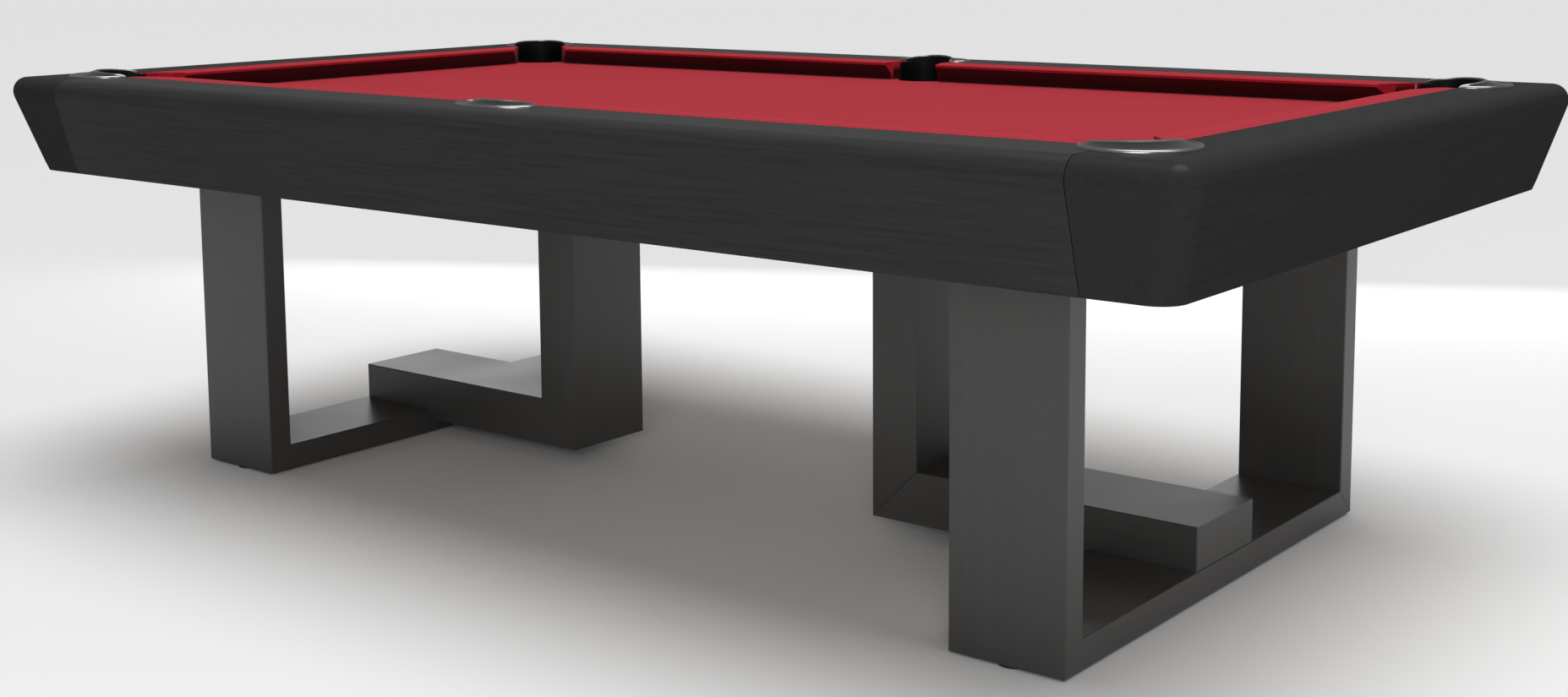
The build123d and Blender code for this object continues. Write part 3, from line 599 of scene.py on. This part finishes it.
def make_cushions():
    corner_cot = 1 / tan(CORNER_FACING)
    side_cot = 1 / tan(SIDE_FACING)
    liner = CORNER_RADIUS + HOLE_CLEARANCE
    side_liner = SIDE_RADIUS + HOLE_CLEARANCE
    side_reach = end_of(-SIDE_TIP, side_cot, 0.0, SIDE_CENTRE.y - HALF_Y, side_liner)
    long_high = end_of(HALF_X - CORNER_TIP, corner_cot, CORNER_CENTRE.x, CORNER_CENTRE.y - HALF_Y, liner)
    master = make_cushion("cushion_back_right", HALF_Y, lambda d: -side_reach(d), long_high)
    tip = HALF_Y - CORNER_TIP
    short_high = end_of(tip, corner_cot, CORNER_CENTRE.y, CORNER_CENTRE.x - HALF_X, liner)
    short = make_cushion("cushion_end_master", HALF_X, lambda d: -short_high(d), short_high)
    for side, sy in SIDES.items():
        for end, sx in ENDS.items():
            name = f"cushion_{side}_{end}"
            obj = master if name == master.name else mirrored(master, name, sx < 0, sy < 0)
            finish_cushion(obj, f"cushion_cloth_{side}_{end}")
    for end, sx in ENDS.items():
        obj = turned(short, f"cushion_end_{end}", -pi / 2 * sx)
        finish_cushion(obj, f"cushion_cloth_end_{end}")
    bpy.data.objects.remove(short)


# Cabinet ---------------------------------------------------------------------------------

def flare(z):
    """Depth of the cabinet's sloping outer face at a height."""
    return DEPTH_LOW + (DEPTH_TOP - DEPTH_LOW) * (z - APRON_LOW.z) / (RAIL_TOP - APRON_LOW.z)


def cabinet_profile():
    """Depth, height and plan corner radius round the cabinet's section, from its outer bottom edge."""
    slope = atan2(DEPTH_TOP - DEPTH_LOW, RAIL_TOP - APRON_LOW.z)
    turn = radians(90) + slope
    centre_z = RAIL_TOP - EDGE_RADIUS
    centre_d = flare(centre_z) - EDGE_RADIUS / cos(slope)
    points = []
    corner = CORNER_RADIUS_IN_PLAN
    bottom = APRON_LOW.z
    for i in range(4):
        a = radians(90) * i / 3
        inset = BOTTOM_ROUND * (1 - sin(a))
        points.append((flare(bottom) - inset, bottom + BOTTOM_ROUND * (1 - cos(a)), corner - inset))
    steps = 10
    top_of_flat = centre_z - EDGE_RADIUS * sin(slope)
    for i in range(1, steps + 1):
        z = bottom + BOTTOM_ROUND + (top_of_flat - bottom - BOTTOM_ROUND) * i / steps
        points.append((flare(z), z, corner))
    rounds = 16
    for i in range(1, rounds + 1):
        a = -slope + turn * i / rounds
        depth = centre_d + EDGE_RADIUS * cos(a)
        z = centre_z + EDGE_RADIUS * sin(a)
        points.append((depth, z, max(0.5 * MM, corner - (flare(min(z, RAIL_TOP)) - depth))))
    last_depth, _, last_corner = points[-1]
    inner = WOOD_DEPTH
    for i in range(1, 9):
        t = i / 8
        depth = last_depth + (inner + GROOVE_ROUND - last_depth) * t
        points.append((depth, RAIL_TOP, last_corner * (1 - t)))
    points.append((inner, RAIL_TOP - GROOVE_ROUND, 0.0))
    points.append((inner, CLOTH_TOP, 0.0))
    wall_radius = corner - APRON_WALL / 2
    top_wall = flare(CLOTH_TOP) - APRON_WALL
    points.append((top_wall * 0.5 + inner * 0.5, CLOTH_TOP, wall_radius * 0.5))
    points.append((top_wall, CLOTH_TOP, wall_radius))
    points.append((DEPTH_LOW - APRON_WALL, bottom, wall_radius))
    return points


def apron_bar(name, half_width, half_length):
    """An apron along X on the +Y side, with its seam edges eased."""
    bm = bmesh.new()
    profile = cabinet_profile()
    stations = [-1.0, -0.98] + [i / 10 for i in range(-9, 10)] + [0.98, 1.0]
    rows = [[bm.verts.new((half_length * s, half_width + d, z)) for d, z, _ in profile] for s in stations]
    grid_faces(bm, rows, close_columns=True)
    caps = [bm.faces.new(rows[0]), bm.faces.new(rows[-1])]
    ease_ends(bm, caps)
    return from_bmesh(name, bm, APRON_SHARP)


def ease_ends(bm, caps):
    """Round the outline of both seam faces a little."""
    edges = {e for cap in caps for e in cap.edges}
    bevel_edges(bm, edges, SEAM_ROUND, 2)


def end_piece(name):
    """The right end of the cabinet in one piece, swept across the end and round both corners."""
    bm = bmesh.new()
    bend, across = 16, 12
    columns = []
    for depth, z, radius in cabinet_profile():
        x1, y1 = HALF_X + depth, HALF_Y + depth
        path = [(between(i, 0, 3, END_PIECE_START, x1 - radius), y1) for i in range(4)]
        for i in range(1, bend + 1):
            a = radians(90) * (1 - i / bend)
            path.append((x1 - radius + radius * cos(a), y1 - radius + radius * sin(a)))
        turn = y1 - radius
        path += [(x1, turn - turn * i / across) for i in range(1, across + 1)]
        path += [(x, -y) for x, y in reversed(path[:-1])]
        columns.append([bm.verts.new((x, y, z)) for x, y in path])
    rows = [[column[i] for column in columns] for i in range(len(columns[0]))]
    grid_faces(bm, rows, close_columns=True)
    caps = [bm.faces.new(rows[0]), bm.faces.new(rows[-1])]
    bmesh.ops.remove_doubles(bm, verts=bm.verts, dist=SAME_PLACE)
    bmesh.ops.recalc_face_normals(bm, faces=bm.faces)
    ease_ends(bm, [cap for cap in caps if cap.is_valid])
    return from_bmesh(name, bm, APRON_SHARP)


def make_cabinet():
    """Two side aprons and two end pieces, with the pocket holes cut through their tops."""
    def hole(centre, radius, sx=1, sy=1):
        return cylinder((sx * centre.x, sy * centre.y), radius + HOLE_CLEARANCE,
                        CLOTH_TOP - CUT_MARGIN, RAIL_TOP + CUT_MARGIN)

    side = apron_bar("apron_back", HALF_Y, APRON_HIGH.x)
    cut(side, [hole(SIDE_CENTRE, SIDE_RADIUS), hole(CORNER_CENTRE, CORNER_RADIUS),
               hole(CORNER_CENTRE, CORNER_RADIUS, sx=-1)])
    end = end_piece("apron_right")
    cut(end, [hole(CORNER_CENTRE, CORNER_RADIUS), hole(CORNER_CENTRE, CORNER_RADIUS, sy=-1)])
    placed = {"side_apron_back": side, "side_apron_front": mirrored(side, "apron_front", False, True),
              "end_apron_right": end, "end_apron_left": mirrored(end, "apron_left", True, False)}
    for node, obj in placed.items():
        smooth(obj, APRON_SHARP)
        # End pieces get the darker copy of the lacquer as painted shade.
        dress(obj, CABINET_SHORT_PAINTED_SHADE if node.startswith("end") else CABINET_LONG)
        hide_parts(node)
        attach(obj, "table")


def smooth(obj, angle):
    """Smooth shading after a cut, sharp only where faces meet at more than the angle."""
    obj.data.shade_smooth()
    obj.data.set_sharp_from_angle(angle=angle)
    weighted = obj.modifiers.new("normals", "WEIGHTED_NORMAL")
    weighted.keep_sharp = True


# Pockets ---------------------------------------------------------------------------------

def lip_rise(phi, spread):
    """Height of a casting's raised lip over the rail, which falls away towards the tips of its arms."""
    share = cos(radians(90) * min(1.0, abs(phi) / spread))
    return (CASTING_TOP - RAIL_TOP) * (LIP_TIP_SHARE + (1 - LIP_TIP_SHARE) * max(0.0, share) ** 0.7)


def casting_section(width, lip):
    """Shares of the width from the outer edge inwards, with heights: bead, gutter, dished face, lip."""
    bead = min(BEAD_RADIUS, 0.26 * width)
    top = bead * 1.08
    points = [(0.0, 0.0)]
    points += [(bead * (1 - cos(radians(a))), bead * (0.08 + sin(radians(a)))) for a in range(0, 91, 15)]
    points += [(bead * 1.3, top * 0.96), (bead * 1.6, top * 0.80), (bead * 1.8, top * 0.70)]
    start, gutter = bead * 2.1, top * 0.66
    stop, crest = 0.93 * width, max(lip * 0.96, top * 0.9)
    for share in (0.0, 0.2, 0.4, 0.6, 0.75, 0.88, 1.0):
        points.append((start + (stop - start) * share, gutter + (crest - gutter) * share ** 1.7))
    lip = max(lip, top * 0.95)
    points += [(w * width, lip * h) for w, h in ((0.955, 1.0), (0.98, 0.985), (0.994, 0.94), (1.0, 0.86))]
    points += [(width, lip * 0.76), (width, 0.0)]
    return [(reach / width, height) for reach, height in points]


def make_casting(name, centre, inner, edge, outward, spread, round_from):
    """A crescent round a pocket: edge(phi) is its outline, and its two arms end rounded off."""
    bm = bmesh.new()
    count = 120
    rows = []
    for i in range(count + 1):
        phi = spread * sin(radians(90) * (2 * i / count - 1))
        width = edge(phi) - inner
        off = max(0.0, (abs(phi) - round_from) / (spread - round_from))
        width = max(LEAST_WIDTH, width * sqrt(max(0.0, 1.0 - off ** 2.2)))
        lip = lip_rise(phi, spread) * min(1.0, sqrt(width / FULL_HEIGHT_WIDTH))
        places = [around(centre, inner + width * (1 - share), outward + phi, RAIL_TOP + height)
                  for share, height in casting_section(width, lip)]
        rows.append([bm.verts.new(place) for place in places])
    column = {vert: index for row in rows for index, vert in enumerate(row)}
    for face in grid_faces(bm, rows, close_columns=True):
        across = sorted(column[vert] for vert in face.verts)
        # Faces of the bead and of the lip take the second, brighter pewter as a painted highlight.
        face.material_index = int(across[-1] <= GUTTER_COLUMN or across[0] >= CREST_COLUMN)
    bm.faces.new(rows[0])
    bm.faces.new(rows[-1])
    return from_bmesh(name, bm, radians(60))


def at_all_pockets(kind, corner, side):
    """A kind's six pieces, mirrored from its two masters, each with its pocket's name."""
    for side_name, sy in SIDES.items():
        for end_name, sx in (*ENDS.items(), ("middle", 1)):
            master = side if end_name == "middle" else corner
            pocket = f"{side_name}_{end_name}"
            name = f"{kind}_{pocket}"
            yield (master if name == master.name else mirrored(master, name, sx < 0, sy < 0)), pocket


def make_castings():
    """Corner castings edged by a circle set outwards, side castings by an ellipse set back."""
    corner_shift = 31 * MM
    corner_outer = 85 * MM
    side_forward = 21 * MM
    side_half, side_reach = 92 * MM, 77 * MM

    def corner_edge(phi):
        return corner_shift * cos(phi) + sqrt(corner_outer ** 2 - (corner_shift * sin(phi)) ** 2)

    def side_edge(phi):
        u, v = sin(phi) / side_half, cos(phi) / side_reach
        a, b, c = u * u + v * v, v * side_forward / side_reach, (side_forward / side_reach) ** 2 - 1
        return (b + sqrt(b * b - a * c)) / a

    corner = make_casting("casting_back_right", CORNER_CENTRE, CORNER_RADIUS + HOLE_CLEARANCE, corner_edge,
                          radians(45), CORNER_SPREAD, CORNER_ROUND_FROM)
    side = make_casting("casting_back_middle", SIDE_CENTRE, SIDE_RADIUS + HOLE_CLEARANCE, side_edge,
                        radians(90), SIDE_SPREAD, SIDE_ROUND_FROM)
    for obj, pocket in at_all_pockets("casting", corner, side):
        if not obj.data.materials:
            # The second material is the painted highlight on the bead and lip.
            obj.data.materials.append(PEWTER)
            obj.data.materials.append(PEWTER_PAINTED_HIGHLIGHT)
        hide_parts(f"pocket_casting_{pocket}")
        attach(obj, "table")


def ease(share):
    """0 to 1 with a gentle start and stop."""
    t = min(1.0, max(0.0, share))
    return t * t * (3 - 2 * t)


def liner_wall(r_out, r_in, floor, top, sign):
    """Radius and height up one face of a liner: rolled bottom, straight wall, rounded rim."""
    roll = r_out - r_in
    points = []
    for k in range(5):
        b = radians(90) * k / 4
        points.append((r_in + roll * sin(b), floor + roll * (1 - cos(b))))
    start = points[-1][1]
    for k in range(1, 7):
        points.append((r_out, start + (top - LINER_RIM_ROUND - start) * k / 6))
    points.append((r_out - sign * 0.5 * MM, top - 0.3 * MM))
    points.append((r_out - sign * LINER_RIM_ROUND, top))
    return points


def make_liner(name, centre, radius, inward, mouth, spread):
    """A drop pocket: a deep cup with a rolled bottom, cut down to the slate across its mouth."""
    bm = bmesh.new()
    bottom, rim_top = (corner.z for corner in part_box("pocket_bucket_back_right"))
    low_rim = CLOTH_TOP - LINER_UNDER_CLOTH
    count = 96
    round_start = radius - LINER_FLOOR_ROUND
    outer, inner = [], []
    for i in range(count):
        a = 2 * pi * i / count
        off = abs((a - inward + pi) % (2 * pi) - pi)
        behind = radians(180) - off
        side_top = RAIL_TOP - LINER_UNDER_RAIL
        if behind < spread:
            raised = min(rim_top, RAIL_TOP + lip_rise(behind, spread) - LINER_UNDER_LIP)
            side_top += (raised - side_top) * ease((spread - behind) / LIP_BLEND)
        top = low_rim + (side_top - low_rim) * ease((off - mouth) / MOUTH_BLEND)
        out = liner_wall(radius, round_start, bottom, top, 1)
        inn = liner_wall(radius - BUCKET_WALL, round_start, bottom + BUCKET_WALL, top, -1)
        outer.append([bm.verts.new(around(centre, r, a, z)) for r, z in out])
        inner.append([bm.verts.new(around(centre, r, a, z)) for r, z in inn])
    grid_faces(bm, outer, close_rows=True)
    grid_faces(bm, inner, close_rows=True)
    for i in range(count):
        j = (i + 1) % count
        bm.faces.new((outer[i][-1], outer[j][-1], inner[j][-1], inner[i][-1]))
    bm.faces.new([row[0] for row in outer])
    bm.faces.new([row[0] for row in inner])
    return from_bmesh(name, bm, radians(55))


def make_liners():
    """The six drop pockets."""
    corner = make_liner("liner_back_right", CORNER_CENTRE, CORNER_RADIUS, radians(225), CORNER_MOUTH,
                        CORNER_SPREAD)
    side = make_liner("liner_back_middle", SIDE_CENTRE, SIDE_RADIUS, radians(270), SIDE_MOUTH, SIDE_SPREAD)
    for obj, pocket in at_all_pockets("liner", corner, side):
        dress(obj, POCKET_RUBBER)
        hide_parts(f"pocket_bucket_{pocket}")
        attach(obj, "table")


# Stage -----------------------------------------------------------------------------------

def make_floor():
    """A wide pale floor under the table."""
    bm = bmesh.new()
    for x, y in ((-1, -1), (1, -1), (1, 1), (-1, 1)):
        bm.verts.new((x * FLOOR_HALF, y * FLOOR_HALF, 0.0))
    bm.faces.new(bm.verts)
    floor = from_bmesh("floor", bm)
    paint = Paint("pale_floor", Base_Color=(0.93, 0.93, 0.93, 1), Roughness=0.9)
    paint.set("Specular IOR Level", 0.2)
    dress(floor, paint.material)


def area_light(name, place, target, size, power):
    """A rectangular light that faces its target."""
    data = bpy.data.lights.new(name, "AREA")
    data.shape = "RECTANGLE"
    data.size, data.size_y = size
    data.energy = power
    obj = new_object(name, data)
    obj.location = place
    aim = Vector(target) - Vector(place)
    obj.rotation_euler = aim.to_track_quat("-Z", "Y").to_euler()
    return obj


def make_lights():
    """A dim even room, one wide soft ceiling light, a low panel behind the table and two weak fills."""
    world = bpy.data.worlds.new("studio")
    bpy.context.scene.world = world
    world.use_nodes = True
    background = world.node_tree.nodes["Background"]
    background.inputs["Color"].default_value = (1.0, 1.0, 1.0, 1.0)
    background.inputs["Strength"].default_value = ROOM_LIGHT
    data = bpy.data.lights.new("ceiling", "SUN")
    data.energy = 2.0
    data.angle = radians(50)
    ceiling = new_object("ceiling", data)
    ceiling.rotation_euler = Euler((radians(-4), radians(4), 0.0))
    panel = area_light("low_panel", (-1.0, 2.25, 0.56), (0.1, 0.2, 0.4), (4.6, 0.44), 14)
    panel.visible_camera = False
    area_light("front_high", (2.9, -4.2, 1.9), (1.1, 0, 0.3), (2.6, 1.2), 52)
    area_light("end_high", (4.4, -0.6, 3.4), (0.9, -0.1, 0.2), (2.0, 1.2), 14)


def make_camera():
    """The photo's viewpoint, off the right end of the near long side, with uprights nearly upright."""
    yaw, pitch, roll = -0.6668, 0.1246, -0.0071
    place = Vector((2.3977, -2.9278, 1.0878))
    data = bpy.data.cameras.new("camera")
    data.sensor_width = 36.0
    data.lens = 45.2832
    data.shift_y = -0.11
    camera = new_object("camera", data)
    forward = Vector((sin(yaw) * cos(pitch), cos(yaw) * cos(pitch), -sin(pitch)))
    level = Vector((cos(yaw), -sin(yaw), 0.0))
    up = level.cross(forward)
    right = cos(roll) * level + sin(roll) * up
    above = cos(roll) * up - sin(roll) * level
    basis = Matrix((right, above, -forward)).transposed()
    camera.matrix_world = Matrix.Translation(place) @ basis.to_4x4()
    bpy.context.scene.camera = camera
    bpy.context.scene.view_settings.view_transform = "Standard"


make_camera()
make_lights()
make_floor()
dress_cad_nodes()
make_bed_cloth()
make_cushions()
make_cabinet()
make_castings()
make_liners()
